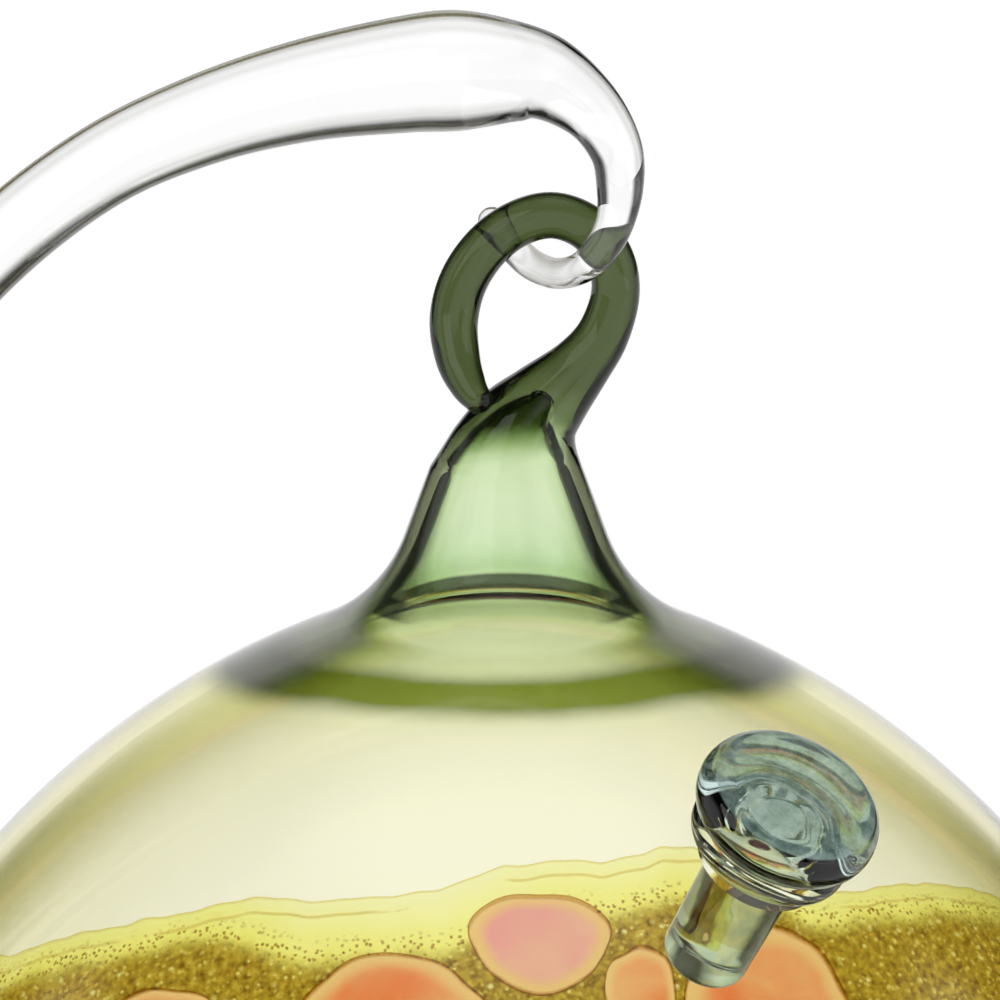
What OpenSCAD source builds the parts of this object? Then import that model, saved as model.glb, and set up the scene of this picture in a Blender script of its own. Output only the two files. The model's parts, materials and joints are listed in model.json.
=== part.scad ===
// Globe thermometer hung by a glass loop from the swan-neck arm of its stand.
// Millimetres. The origin is the centre of the foot's underside and Z points up.
// The front faces -Y and the arm rises on the -X side.

/* [Globe] */
// Outer radius of the globe
globe_r = 70; // [60:1:80]
// Height of the globe's centre above the table
globe_z = 94.6; // [92:0.1:104]
// Thickness of the blown wall
wall = 2.2; // [1.8:0.1:3]
// How far the flatter shoulder's arc centre lies behind the globe's centre
shoulder_shift = 17.5; // [10:0.5:30]
// Angle from the top at which the shoulder runs into the ball
shoulder_angle = 48.9; // [40:0.1:60]
// Radius of the hollow at the foot of the neck
neck_fillet = 15; // [6:0.5:16]
// Narrowing of the neck per millimetre of height
neck_taper = 0.37; // [0.3:0.01:0.5]
// Outer radius where the neck turns solid
neck_top_r = 7.6; // [6:0.1:9]
// Height of that place above the table
neck_top_z = 180.2; // [176:0.1:184]

/* [Filling port and stopper] */
// Elevation of the port's axis above the horizontal, in degrees
port_elev = 50; // [45:1:55]
// Azimuth of the port's axis from the front towards +X, in degrees
port_az = 34; // [0:1:60]
// Radius of the port's bore
port_bore_r = 5.0; // [4.8:0.05:5.6]
// Outer radius of the rolled lip
lip_r = 8.2; // [7.5:0.1:10]
// Outer radius of the collar where it passes through the globe's wall
socket_r = 6.4; // [6:0.1:7]
// Radius of the stopper's shank at its top
shank_r = 4.6; // [4:0.05:4.65]
// Radius of the stopper's shank at its end
shank_end_r = 4.3; // [3.8:0.05:4.6]
// Length of the shank below the lip
shank_length = 18; // [10:0.5:20]
// Radius of the stopper's head
head_r = 9.4; // [8:0.05:11]
// Thickness of the stopper's head
head_t = 5.6; // [5:0.1:9]

/* [Decoration] */
// Radial thickness of the leaf band
leaf_t = 0.4; // [0.3:0.05:0.6]
// Radial thickness of the coloured patches
patch_t = 0.45; // [0.3:0.05:0.6]

/* [Liquid] */
// Height of the liquid's surface above the table
liquid_z = 111; // [105:1:114]
// Radius of the liquid's body
liquid_r = 66.6; // [66:0.1:66.7]

/* [Floats] */
// Outer radius of a float
float_r = 11; // [9:0.5:12]
// Wall thickness of a float
float_wall = 0.8; // [0.6:0.1:1.2]
// Distance of the floats from the globe's axis
lane_r = 25; // [22:0.5:26]
// Height of the two floats that ride at the surface
high_z = 102; // [98:0.5:104]
// Height of the float that hovers
middle_z = 84; // [76:0.5:92]
// Height of the two floats that have sunk
low_z = 64; // [63:0.5:68]
// Radius of a tag
tag_r = 6.5; // [5:0.1:7]
// Thickness of a tag
tag_t = 0.8; // [0.6:0.1:1.2]

/* [Stand] */
// Radius of the foot
foot_r = 62; // [55:1:70]
// Height of the foot at its middle
foot_h = 14; // [10:0.5:14]
// Radius of the dome of the foot's upper face
foot_dome_r = 175; // [150:5:300]
// Distance of the arm's root from the globe's axis
root_x = 48; // [44:1:50]
// Height at which the arm leaves the foot
root_z = 17; // [15:0.5:18]
// Radius of the arm at its root
root_r = 5.2; // [4.5:0.1:6]

/* [Hidden] */
$fn = 96;
eps = 0.01;
inner_r = globe_r - wall;
patch_r = inner_r - 0.05;
leaf_r = patch_r - patch_t - 0.05;
shoulder_r = globe_r + shoulder_shift;
shoulder_c = [-shoulder_shift * sin(shoulder_angle), globe_z - shoulder_shift * cos(shoulder_angle)];
taper_len = sqrt(1 + neck_taper * neck_taper);
taper_n = [1 / taper_len, neck_taper / taper_len];

// The fillet touches the neck's cone and the shoulder's arc. Its centre is found
// by running down the cone until it lies shoulder_r + neck_fillet from the arc's centre.
fil_a = neck_top_r + neck_fillet * taper_n[0] - shoulder_c[0];
fil_b = neck_top_z + neck_fillet * taper_n[1] - shoulder_c[1];
fil_qa = 1 + neck_taper * neck_taper;
fil_qb = 2 * (fil_a * neck_taper - fil_b);
fil_qc = fil_a * fil_a + fil_b * fil_b - pow(shoulder_r + neck_fillet, 2);
fil_run = (-fil_qb - sqrt(fil_qb * fil_qb - 4 * fil_qa * fil_qc)) / (2 * fil_qa);
fillet_c = [fil_a + neck_taper * fil_run + shoulder_c[0], fil_b - fil_run + shoulder_c[1]];

// Sheets of leaf overlap round the globe, so the band's upper edge steps: [azimuth, latitude].
leaf_top = [
    [-180, 30.6], [-175, 28.4], [-173, 27.7], [-162, 26.9], [-153, 27.9], [-138, 27.3], [-120, 26.6],
    [-108, 28], [-72, 28.5], [-68, 31], [-30, 32.5], [-26, 29.5], [10, 31], [45, 29], [50, 31.5],
    [85, 33], [114, 34.5], [132, 33], [141, 30.3], [148, 29.9], [157, 33.4], [163, 33.1],
    [165, 32.2], [170, 31.2], [175, 31.3], [180, 30.6]
];
leaf_foot = [
    [-180, 2], [-140, -1], [-95, 3], [-50, 0], [-15, 3.5], [30, 0.5], [75, 3], [130, -0.5], [180, 2]
];

// Patches: azimuth, latitude, half width and half height in degrees, phase of the lobes.
patches = [
    [176.6, 22.1, 6.4, 5.2, 0],
    [-168.9, 14.7, 9.1, 5.9, 200],
    [166.9, 17, 3.3, 4.8, 60],
    [153.6, 17.1, 8.4, 7.6, 130],
    [-145, 14.9, 6.6, 4.5, 300],
    [78, 19, 9, 6, 20],
    [20, 18, 8, 6, 250],
    [-75, 18.5, 9.5, 5.8, 90]
];

// Lanes of the floats: azimuth from +X and height of the float's centre.
lanes = [[-90, middle_z], [-18, low_z], [54, high_z], [126, low_z], [198, high_z]];
eye_drop = 12.1;
ring_r = 2.3;
hole_drop = 17.3;
tag_drop = 21.5;

// Direction of the arm where the drawn hook is joined to it.
seam = [1, -0.12, -0.16] / norm([1, -0.12, -0.16]);

// Centre lines: x, y, z and radius.
loop_line = [
    [0, 0, neck_top_z, neck_top_r],
    [0.3, 0, neck_top_z + 1.5, 6.85],
    [0.9, 0, neck_top_z + 3.1, 6.1],
    [2.1, 0, neck_top_z + 4.9, 5.2],
    [4.3, 0, 187.2, 4.2],
    [7.5, 0, 190.4, 3.1],
    [9.7, 0, 193.5, 2.65],
    [10.9, 0, 197.5, 2.45],
    [10.4, 0, 201.0, 2.4],
    [8.3, 0, 204.0, 2.35],
    [4.9, 0, 205.4, 2.35],
    [1.4, 0, 204.7, 2.35],
    [-1.8, 0, 202.4, 2.4],
    [-4.2, 0, 198.9, 2.45],
    [-5.2, -0.4, 195.0, 2.45],
    [-4.8, -2.0, 191.3, 2.25],
    [-3.8, -3.7, 188.9, 1.85],
    [-2.8, -5.0, 187.6, 1.45]
];
hollow_line = [
    [0, 0, neck_top_z, neck_top_r - wall * taper_len],
    [0.3, 0, neck_top_z + 1.5, 4.5],
    [0.9, 0, neck_top_z + 3.1, 3.5],
    [2.0, 0, neck_top_z + 4.8, 2.3],
    [3.5, 0, 186.4, 1.1]
];
stem_line = [
    [-root_x, 0, root_z, root_r],
    [-root_x - 2.4, 0, root_z + 9, 4.9],
    [-root_x - 12, 0, root_z + 22, 4.6],
    [-74.4, 0, 57, 4.4],
    [-83.2, 0, 79, 4.3],
    [-86.8, 0, 104, 4.2],
    [-86.2, 0, 129, 4.2],
    [-80.6, 0, 154, 4.2],
    [-70.8, 0, 177.4, 4.2],
    [-60.6, 0, 191.6, 4.2],
    [-50.5, 0, 202.6, 4.2],
    [-40.2, 0, 210.4, 4.25],
    [-30.2, 0, 215.0, 4.6],
    [-20.3, -0.3, 217.9, 5.15],
    [-10.5, -0.9, 219.6, 5.85],
    [-4.5, -1.3, 220.1, 6.05],
    [1.6, -1.6, 219.9, 4.95]
];
hook_line = [
    [1.6, -1.6, 219.9, 4.95],
    [5.0, -2.1, 218.9, 4.1],
    [8.7, -3.1, 216.1, 3.2],
    [10.9, -4.1, 212.5, 2.7],
    [11.3, -4.9, 209.0, 2.4],
    [10.9, -5.2, 205.8, 2.0],
    [9.7, -5.0, 203.1, 1.8],
    [7.6, -4.1, 200.8, 1.65],
    [5.1, -0.9, 199.7, 1.6],
    [2.6, 2.7, 200.1, 1.6],
    [0.4, 4.7, 201.9, 1.55],
    [-1.4, 4.9, 204.2, 1.45]
];

// ---- Swept tubes ----

function unit(v) = v / norm(v);
function place(p) = [p[0], p[1], p[2]];

// Point at share t of the span that starts at control point i.
function spline(p, i, t) =
    let(n = len(p) - 1, a = p[max(i - 1, 0)], b = p[i], c = p[min(i + 1, n)], d = p[min(i + 2, n)])
    0.5 * (2 * b + (c - a) * t + (2 * a - 5 * b + 4 * c - d) * t * t + (3 * b - a - 3 * c + d) * t * t * t);

function smooth(p, steps) = concat(
    [for (i = [0 : len(p) - 2]) for (k = [0 : steps - 1]) spline(p, i, k / steps)],
    [p[len(p) - 1]]
);

// Direction of a line at point i. It eases from a given first direction over some points.
function along(q, i) = unit(place(q[min(i + 1, len(q) - 1)]) - place(q[max(i - 1, 0)]));
function heading(q, i, first, ease, last) =
    let(w = min(i / ease, 1), s = w * w * (3 - 2 * w))
    i == len(q) - 1 && !is_undef(last) ? last : unit((1 - s) * first + s * along(q, i));

// One section of a tube, around direction d, in the plane kept square to the Y axis.
function section(c, d, r, sides) =
    let(u = unit(cross([0, 1, 0], d)), v = cross(d, u))
    [for (k = [0 : sides - 1]) c + r * (cos(360 * k / sides) * u + sin(360 * k / sides) * v)];

// Sections of a tube along q, one after the other, with a dome over a round end.
function tube_points(q, sides, first, ease, last, round_end) =
    let(n = len(q), tip = q[n - 1], d = heading(q, n - 1, first, ease, last))
    concat(
        [for (i = [0 : n - 1]) each section(place(q[i]), heading(q, i, first, ease, last), q[i][3], sides)],
        [
            for (a = round_end ? [20 : 20 : 80] : [])
                each section(place(tip) + d * tip[3] * sin(a), d, tip[3] * cos(a), sides)
        ]
    );

function tube_walls(rows, sides, from, inward) = [
    for (i = [0 : rows - 2])
        for (k = [0 : sides - 1])
            let(a = from + i * sides + k, b = from + i * sides + (k + 1) % sides)
            inward ? [b, a, a + sides, b + sides] : [a, b, b + sides, a + sides]
];

module tube(q, sides, first, ease, last, round_end) {
    points = tube_points(q, sides, first, ease, last, round_end);
    rows = len(points) / sides;
    foot = [for (k = [sides - 1 : -1 : 0]) k];
    cap = [for (k = [0 : sides - 1]) (rows - 1) * sides + k];
    polyhedron(points, concat([foot], tube_walls(rows, sides, 0, false), [cap]), convexity = 10);
}

// The same with a blind bore along h, open at the foot.
module hollow_tube(q, h, sides, first, ease) {
    outside = tube_points(q, sides, first, ease, undef, true);
    inside = tube_points(h, sides, first, ease, undef, true);
    m = len(outside);
    rows = m / sides;
    inner_rows = len(inside) / sides;
    foot = [for (k = [0 : sides - 1]) [(k + 1) % sides, k, m + k, m + (k + 1) % sides]];
    cap = [for (k = [0 : sides - 1]) (rows - 1) * sides + k];
    end = [for (k = [sides - 1 : -1 : 0]) m + (inner_rows - 1) * sides + k];
    polyhedron(
        concat(outside, inside),
        concat(foot, tube_walls(rows, sides, 0, false), [cap], tube_walls(inner_rows, sides, m, true), [end]),
        convexity = 10
    );
}

// ---- Places on the globe ----

// Point on a sphere about the globe's centre, azimuth from the front towards +X.
function on_globe(r, az, lat) = [r * cos(lat) * sin(az), -r * cos(lat) * cos(az), globe_z + r * sin(lat)];

module at_port() {
    translate([0, 0, globe_z])
        rotate([0, 90 - port_elev, port_az - 90])
            children();
}

module at_lane(i) {
    translate([lane_r * cos(lanes[i][0]), lane_r * sin(lanes[i][0]), lanes[i][1]])
        children();
}

// Closed skin between two grids of points, rows by columns; ring_shaped grids close on themselves.
module skin(outer, inner, rows, cols) {
    n = rows * cols;
    polyhedron(
        concat(outer, inner),
        [
            for (i = [0 : rows - 2])
                for (k = [0 : cols - 1])
                    let(m = (k + 1) % cols, a = i * cols + k, b = i * cols + m, c = a + cols, d = b + cols)
                    each [[a, c, d], [a, d, b], [n + a, n + d, n + c], [n + a, n + b, n + d]],
            for (k = [0 : cols - 1])
                let(m = (k + 1) % cols, e = (rows - 1) * cols)
                each [
                    [k, m, n + m], [k, n + m, n + k],
                    [e + k, n + e + m, e + m], [e + k, n + e + k, n + e + m]
                ]
        ],
        convexity = 10
    );
}

// ---- Stand ----

module stand_base() {
    color([0.86, 0.92, 0.92, 0.45])
        union() {
            rotate_extrude()
                intersection() {
                    translate([0, foot_h - foot_dome_r])
                        circle(foot_dome_r, $fn = 720);
                    union() {
                        square([foot_r - 3, foot_h]);
                        translate([foot_r - 3, 3])
                            circle(3);
                    }
                }
            translate([-root_x, 0, 0])
                rotate_extrude()
                    difference() {
                        square([root_r + 5, root_z]);
                        translate([root_r + 6, root_z])
                            circle(6);
                    }
        }
}

module stand_stem() {
    color([0.86, 0.92, 0.92, 0.45])
        tube(smooth(stem_line, 4), 24, [0, 0, 1], 4, seam, false);
}

module stand_hook() {
    color([0.86, 0.92, 0.92, 0.45])
        tube(smooth(hook_line, 5), 24, seam, 4, undef, true);
}

// ---- Globe ----

// Half outline of the globe, taken in by t from its outer surface.
module outline(t) {
    far = 3 * globe_r;
    up = [sin(shoulder_angle), cos(shoulder_angle)];
    ball_c = [0, globe_z];
    join = shoulder_c + (fillet_c - shoulder_c) * (shoulder_r - t) / (shoulder_r + neck_fillet);
    touch = fillet_c - (neck_fillet + t) * taper_n;
    intersection() {
        translate(ball_c)
            circle(globe_r - t);
        polygon([ball_c, ball_c + far * up, [far, -far], [0, -far]]);
    }
    intersection() {
        translate(shoulder_c)
            circle(shoulder_r - t);
        polygon([ball_c, ball_c + far * up, [join[0], far], join, [0, join[1]]]);
    }
    difference() {
        polygon([
            [0, join[1] - eps], [join[0], join[1] - eps], join, fillet_c, touch,
            [neck_top_r - t * taper_len, neck_top_z], [0, neck_top_z]
        ]);
        translate(fillet_c)
            circle(neck_fillet + t);
    }
}

module globe_shell() {
    color([0.75, 0.82, 0.45, 0.45])
        difference() {
            rotate_extrude()
                outline(0);
            rotate_extrude()
                outline(wall);
            at_port()
                translate([0, 0, globe_r - 12])
                    cylinder(h = 20, r = socket_r);
        }
}

module hanging_loop() {
    color([0.13, 0.25, 0.13, 0.8])
        hollow_tube(smooth(loop_line, 4), smooth(hollow_line, 4), 26, [0, 0, 1], 24);
}

module port_collar() {
    color([0.75, 0.82, 0.45, 0.45])
        difference() {
            union() {
                at_port()
                    translate([0, 0, globe_r - wall - 0.4])
                        cylinder(h = wall + 1.4, r = socket_r);
                difference() {
                    at_port()
                        rotate_extrude() {
                            translate([lip_r - 1.2, globe_r + 1.2])
                                circle(1.2);
                            polygon([
                                [port_bore_r, globe_r - 1], [lip_r - 1.2, globe_r - 1],
                                [lip_r - 1.2, globe_r + 2.4], [port_bore_r, globe_r + 1]
                            ]);
                        }
                    rotate_extrude()
                        outline(0);
                }
            }
            at_port() {
                translate([0, 0, globe_r - wall - 5])
                    cylinder(h = wall + 12, r = port_bore_r);
                translate([0, 0, globe_r - 0.6])
                    cylinder(h = 3.1, r1 = port_bore_r, r2 = lip_r - 1.6);
            }
        }
}

module stopper() {
    seat = globe_r + 1.2;
    under = seat + 1.9;
    edge = head_t / 2;
    end = seat - shank_length;
    color([0.62, 0.8, 0.76, 0.5])
        at_port()
            difference() {
                rotate_extrude() {
                    translate([head_r - edge, under + edge])
                        circle(edge);
                    polygon([
                        [0, end], [shank_end_r - 1, end], [shank_end_r, end + 1.2], [shank_r, seat],
                        [shank_r + 1, under], [head_r - edge, under], [head_r - edge, under + head_t],
                        [0, under + head_t]
                    ]);
                }
                translate([0, 0, under + head_t + 17.2])
                    sphere(18);
            }
}

module leaf_band() {
    cols = 120;
    rows = 8;
    step = 360 / cols;
    color([0.78, 0.68, 0.12, 0.75])
        skin(
            [
                for (i = [0 : rows - 1])
                    for (k = [0 : cols - 1])
                        let(a = -180 + k * step, top = lookup(a, leaf_top), low = lookup(a, leaf_foot))
                        on_globe(leaf_r, a, low + (top - low) * i / (rows - 1))
            ],
            [
                for (i = [0 : rows - 1])
                    for (k = [0 : cols - 1])
                        let(a = -180 + k * step, top = lookup(a, leaf_top), low = lookup(a, leaf_foot))
                        on_globe(leaf_r - leaf_t, a, low + (top - low) * i / (rows - 1))
            ],
            rows, cols
        );
}

// A thin lobed patch that follows the globe's inner face.
function patch_grid(p, r, rings, cols) = [
    for (i = [1 : rings])
        for (k = [0 : cols - 1])
            let(a = 360 * k / cols, s = (i / rings) * (1 + 0.07 * sin(3 * a + p[4])))
            on_globe(r, p[0] + s * p[2] * cos(a) / cos(p[1]), p[1] + s * p[3] * sin(a))
];

module patch(i) {
    p = patches[i];
    rings = 4;
    cols = 28;
    n = rings * cols;
    outer = patch_grid(p, patch_r, rings, cols);
    inner = patch_grid(p, patch_r - patch_t, rings, cols);
    color([0.93, 0.45, 0.2, 0.85])
        polyhedron(
            concat(outer, inner, [on_globe(patch_r, p[0], p[1]), on_globe(patch_r - patch_t, p[0], p[1])]),
            [
                for (k = [0 : cols - 1])
                    let(m = (k + 1) % cols, e = n - cols)
                    each [
                        [2 * n, m, k], [2 * n + 1, n + k, n + m],
                        [e + k, e + m, n + e + m], [e + k, n + e + m, n + e + k]
                    ],
                for (j = [0 : rings - 2])
                    for (k = [0 : cols - 1])
                        let(m = (k + 1) % cols, a = j * cols + k, b = j * cols + m)
                        let(c = a + cols, d = b + cols)
                        each [[a, b, d], [a, d, c], [n + a, n + d, n + b], [n + a, n + c, n + d]]
            ],
            convexity = 6
        );
}

module patch_1() { patch(0); }
module patch_2() { patch(1); }
module patch_3() { patch(2); }
module patch_4() { patch(3); }
module patch_5() { patch(4); }
module patch_6() { patch(5); }
module patch_7() { patch(6); }
module patch_8() { patch(7); }

// ---- Liquid and floats ----

module liquid() {
    color([0.93, 0.96, 0.93, 0.25])
        difference() {
            translate([0, 0, globe_z])
                sphere(liquid_r);
            translate([-globe_r, -globe_r, liquid_z])
                cube([2 * globe_r, 2 * globe_r, globe_r]);
            for (i = [0 : len(lanes) - 1])
                at_lane(i) {
                    sphere(float_r + 0.4);
                    translate([0, 0, float_r - 0.6])
                        sphere(1.9);
                    translate([0, 0, -hole_drop - 0.6])
                        cylinder(h = 9, r = 3.1);
                    translate([0, 1, -tag_drop])
                        rotate([90, 0, 0])
                            cylinder(h = 2, r = tag_r + 0.5);
                }
        }
}

// Hollow sealed float with the pip of its seal above and an eye below.
module bulb(i) {
    color([0.85, 0.92, 0.95, 0.35])
        at_lane(i)
            union() {
                difference() {
                    union() {
                        sphere(float_r);
                        translate([0, 0, float_r - 0.6])
                            sphere(1.5);
                    }
                    sphere(float_r - float_wall);
                }
                difference() {
                    translate([0, 0, -eye_drop])
                        rotate([90, 0, 0])
                            rotate_extrude()
                                translate([1.7, 0])
                                    circle(0.55, $fn = 32);
                    sphere(float_r - 0.3);
                }
            }
}

module dye(i, tint) {
    color(tint)
        at_lane(i)
            difference() {
                sphere(float_r - float_wall - 0.05);
                translate([-float_r, -float_r, 3])
                    cube(2 * float_r);
            }
}

module tag_ring(i) {
    color([0.85, 0.68, 0.35])
        at_lane(i)
            translate([0, 0, -eye_drop - ring_r])
                rotate([0, 90, 0])
                    rotate_extrude()
                        translate([ring_r, 0])
                            circle(0.35, $fn = 32);
}

module tag(i) {
    color([0.88, 0.72, 0.4])
        at_lane(i)
            rotate([90, 0, 0])
                difference() {
                    translate([0, -tag_drop, -tag_t / 2])
                        cylinder(h = tag_t, r = tag_r);
                    translate([0, -hole_drop, -tag_t])
                        cylinder(h = 2 * tag_t, r = 1.1);
                    translate([0, -tag_drop, tag_t / 2 - 0.15])
                        rotate_extrude()
                            translate([tag_r - 0.9, 0])
                                square([0.4, 1]);
                }
}

module bulb_22() { bulb(0); }
module dye_22() { dye(0, [0.2, 0.65, 0.3]); }
module ring_22() { tag_ring(0); }
module tag_22() { tag(0); }
module bulb_18() { bulb(1); }
module dye_18() { dye(1, [0.45, 0.15, 0.6]); }
module ring_18() { tag_ring(1); }
module tag_18() { tag(1); }
module bulb_26() { bulb(2); }
module dye_26() { dye(2, [0.8, 0.1, 0.1]); }
module ring_26() { tag_ring(2); }
module tag_26() { tag(2); }
module bulb_20() { bulb(3); }
module dye_20() { dye(3, [0.1, 0.35, 0.8]); }
module ring_20() { tag_ring(3); }
module tag_20() { tag(3); }
module bulb_24() { bulb(4); }
module dye_24() { dye(4, [0.95, 0.6, 0.1]); }
module ring_24() { tag_ring(4); }
module tag_24() { tag(4); }

stand_base();
stand_stem();
stand_hook();
globe_shell();
hanging_loop();
port_collar();
leaf_band();
patch_1();
patch_2();
patch_3();
patch_4();
patch_5();
patch_6();
patch_7();
patch_8();
liquid();
stopper();
bulb_22();
dye_22();
ring_22();
tag_22();
bulb_18();
dye_18();
ring_18();
tag_18();
bulb_26();
dye_26();
ring_26();
tag_26();
bulb_20();
dye_20();
ring_20();
tag_20();
bulb_24();
dye_24();
ring_24();
tag_24();
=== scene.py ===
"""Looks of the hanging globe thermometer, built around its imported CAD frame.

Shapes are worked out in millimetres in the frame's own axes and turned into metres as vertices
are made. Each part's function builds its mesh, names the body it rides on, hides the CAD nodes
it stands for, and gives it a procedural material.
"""

import json
import math
import random

import bmesh
import bpy
import numpy as np
from mathutils import Matrix, Vector


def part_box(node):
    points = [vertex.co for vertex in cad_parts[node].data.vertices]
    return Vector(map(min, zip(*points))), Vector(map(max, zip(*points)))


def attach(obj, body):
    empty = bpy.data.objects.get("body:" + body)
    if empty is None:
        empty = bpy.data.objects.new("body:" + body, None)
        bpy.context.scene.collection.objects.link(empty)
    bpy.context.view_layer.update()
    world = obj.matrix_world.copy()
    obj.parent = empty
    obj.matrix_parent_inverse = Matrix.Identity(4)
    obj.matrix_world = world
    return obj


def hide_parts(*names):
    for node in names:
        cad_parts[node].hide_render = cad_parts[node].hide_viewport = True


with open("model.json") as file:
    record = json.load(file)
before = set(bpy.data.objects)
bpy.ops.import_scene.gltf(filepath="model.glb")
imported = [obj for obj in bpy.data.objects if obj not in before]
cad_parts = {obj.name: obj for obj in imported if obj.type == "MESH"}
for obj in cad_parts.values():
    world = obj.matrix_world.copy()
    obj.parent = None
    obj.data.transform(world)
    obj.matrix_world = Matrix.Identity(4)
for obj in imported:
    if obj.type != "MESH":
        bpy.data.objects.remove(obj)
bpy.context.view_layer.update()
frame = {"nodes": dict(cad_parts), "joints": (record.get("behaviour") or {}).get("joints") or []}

MM = 0.001
SIDES = 96


# ---- Where things are, from the frame ----


def middle(node):
    low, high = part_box(node)
    return (low + high) / 2


shell_low, shell_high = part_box("globe_shell")
GLOBE_R = (shell_high.x - shell_low.x) / 2 / MM
GLOBE_Z = shell_low.z / MM + GLOBE_R
NECK_Z = shell_high.z / MM
FOOT_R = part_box("stand_base")[1].x / MM
LIQUID_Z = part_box("liquid")[1].z / MM
JOINTS = {j["name"]: j for j in frame["joints"]}
PORT = Vector(JOINTS["stopper_pull"]["axis"]).normalized()
FLOATS = [n[5:] for n in sorted(frame["nodes"]) if n.startswith("bulb_")]

# Sizes the CAD model is built with, in millimetres and degrees. The collar's foot, like every
# height along the port, is measured from the globe's centre.
WALL = 2.2
SHOULDER_SHIFT, SHOULDER_ANGLE = 17.5, math.radians(48.9)
FILLET, TAPER, NECK_R = 15.0, 0.37, 7.6
LIP_R, SOCKET_R, BORE_R = 8.2, 6.4, 5.0
SHANK_R, SHANK_END_R, SHANK_LEN = 4.6, 4.3, 18.0
HEAD_R, HEAD_T = 9.4, 5.6
FLOAT_R, FLOAT_WALL = 11.0, 0.8
DYE_R = FLOAT_R - FLOAT_WALL - 0.05
EYE_DROP, RING_R, HOLE_DROP, TAG_DROP, TAG_R = 12.1, 2.3, 17.3, 21.5, 6.5
STEM_X, STEM_ROOT_R = -48, 5.2
FOOT_TOP_Z, FOOT_DOME_R, FOOT_EDGE_R = 14.0, 175.0, 2.3
BOSS_R, BOSS_TOP_Z, BOSS_SWEEP_R = 10.4, 17.0, 6.0
# The seat lies this far above the ball, and the head's underside this far above the seat.
SEAT_LIFT, HEAD_LIFT = 1.2, 1.9
COLLAR_FOOT = 67.65

# Spines as (x, y, z, radius): the green loop, the hollow in its root, and the arm with its hook.
LOOP = [
    (0, 0, NECK_Z, NECK_R), (0.3, 0, NECK_Z + 1.5, 6.85), (0.9, 0, NECK_Z + 3.1, 6.1),
    (2.1, 0, NECK_Z + 4.9, 5.2), (4.3, 0, 187.2, 4.2), (7.5, 0, 190.4, 3.1),
    (9.7, 0, 193.5, 2.65), (10.9, 0, 197.5, 2.45), (10.4, 0, 201.0, 2.4),
    (8.3, 0, 204.0, 2.35), (4.9, 0, 205.4, 2.35), (1.4, 0, 204.7, 2.35),
    (-1.8, 0, 202.4, 2.4), (-4.2, 0, 198.9, 2.45), (-5.2, -0.4, 195.0, 2.45),
    (-4.8, -2.0, 191.3, 2.25), (-3.8, -3.7, 188.9, 1.85), (-2.8, -5.0, 187.6, 1.45),
]
HOLLOW = [
    (0, 0, NECK_Z, NECK_R - WALL * math.sqrt(1 + TAPER ** 2)), (0.3, 0, NECK_Z + 1.5, 4.5),
    (0.9, 0, NECK_Z + 3.1, 3.5), (2.0, 0, NECK_Z + 4.8, 2.3), (3.5, 0, 186.4, 1.1),
]
STEM = [
    (STEM_X, 0, BOSS_TOP_Z, STEM_ROOT_R), (-50.4, 0, 26, 4.9), (-60, 0, 39, 4.6),
    (-74.4, 0, 57, 4.4), (-83.2, 0, 79, 4.3), (-86.8, 0, 104, 4.2), (-86.2, 0, 129, 4.2),
    (-80.6, 0, 154, 4.2), (-70.8, 0, 177.4, 4.2), (-60.6, 0, 191.6, 4.2),
    (-50.5, 0, 202.6, 4.2), (-40.2, 0, 210.4, 4.25), (-30.2, 0, 215.0, 4.6),
    (-20.3, -0.3, 217.9, 5.15), (-10.5, -0.9, 219.6, 5.85),
    (-4.5, -1.3, 220.1, 6.05), (1.6, -1.6, 219.9, 4.95), (5.0, -2.1, 218.9, 4.1),
    (8.7, -3.1, 216.1, 3.2), (10.9, -4.1, 212.5, 2.7), (11.3, -4.9, 209.0, 2.4),
    (10.9, -5.2, 205.8, 2.0), (9.7, -5.0, 203.1, 1.8), (7.6, -4.1, 200.8, 1.65),
    (5.1, -0.9, 199.7, 1.6), (2.6, 2.7, 200.1, 1.6), (0.4, 4.7, 201.9, 1.55),
    (-1.4, 4.9, 204.2, 1.45),
]
# Taken off the arm's radius, so that the finer mesh stays inside the CAD model's box.
TRIM = 0.03


# ---- Mesh helpers, in millimetres ----


def spline(points, steps):
    """A smooth line through the points, with the given number of steps between neighbours."""
    p = np.array(points, float)
    n = len(p) - 1
    out = []
    for i in range(n):
        a, b, c, d = p[max(i - 1, 0)], p[i], p[i + 1], p[min(i + 2, n)]
        for k in range(steps):
            t = k / steps
            out.append(
                0.5 * (2 * b + (c - a) * t + (2 * a - 5 * b + 4 * c - d) * t * t
                       + (3 * b - a - 3 * c + d) * t ** 3)
            )
    out.append(p[-1])
    return np.array(out)


def ring(c, d, r, sides=SIDES):
    """Points of a circle of radius r round c, square to d."""
    u = np.cross([0, 1, 0], d)
    u = u / np.linalg.norm(u)
    v = np.cross(d, u)
    a = np.arange(sides) * 2 * math.pi / sides
    return c + r * (np.cos(a)[:, None] * u + np.sin(a)[:, None] * v)


def unit(v):
    return v / np.linalg.norm(v)


def tube_rings(line, ease, steps, sides=SIDES):
    """Rings along a spline whose headings ease from straight up, and a domed end."""
    q = spline(line, steps)
    n = len(q)
    rings = []
    for i in range(n):
        w = min(i / (ease * steps), 1)
        s = w * w * (3 - 2 * w)
        along = unit(q[min(i + 1, n - 1), :3] - q[max(i - 1, 0), :3])
        d = unit((1 - s) * np.array([0, 0, 1.0]) + s * along)
        rings.append(ring(q[i, :3], d, q[i, 3], sides))
    tip, r = q[-1, :3], q[-1, 3]
    for a in np.radians(np.arange(10, 90, 10)):
        rings.append(ring(tip + d * r * math.sin(a), d, r * math.cos(a), sides))
    return rings


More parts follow.
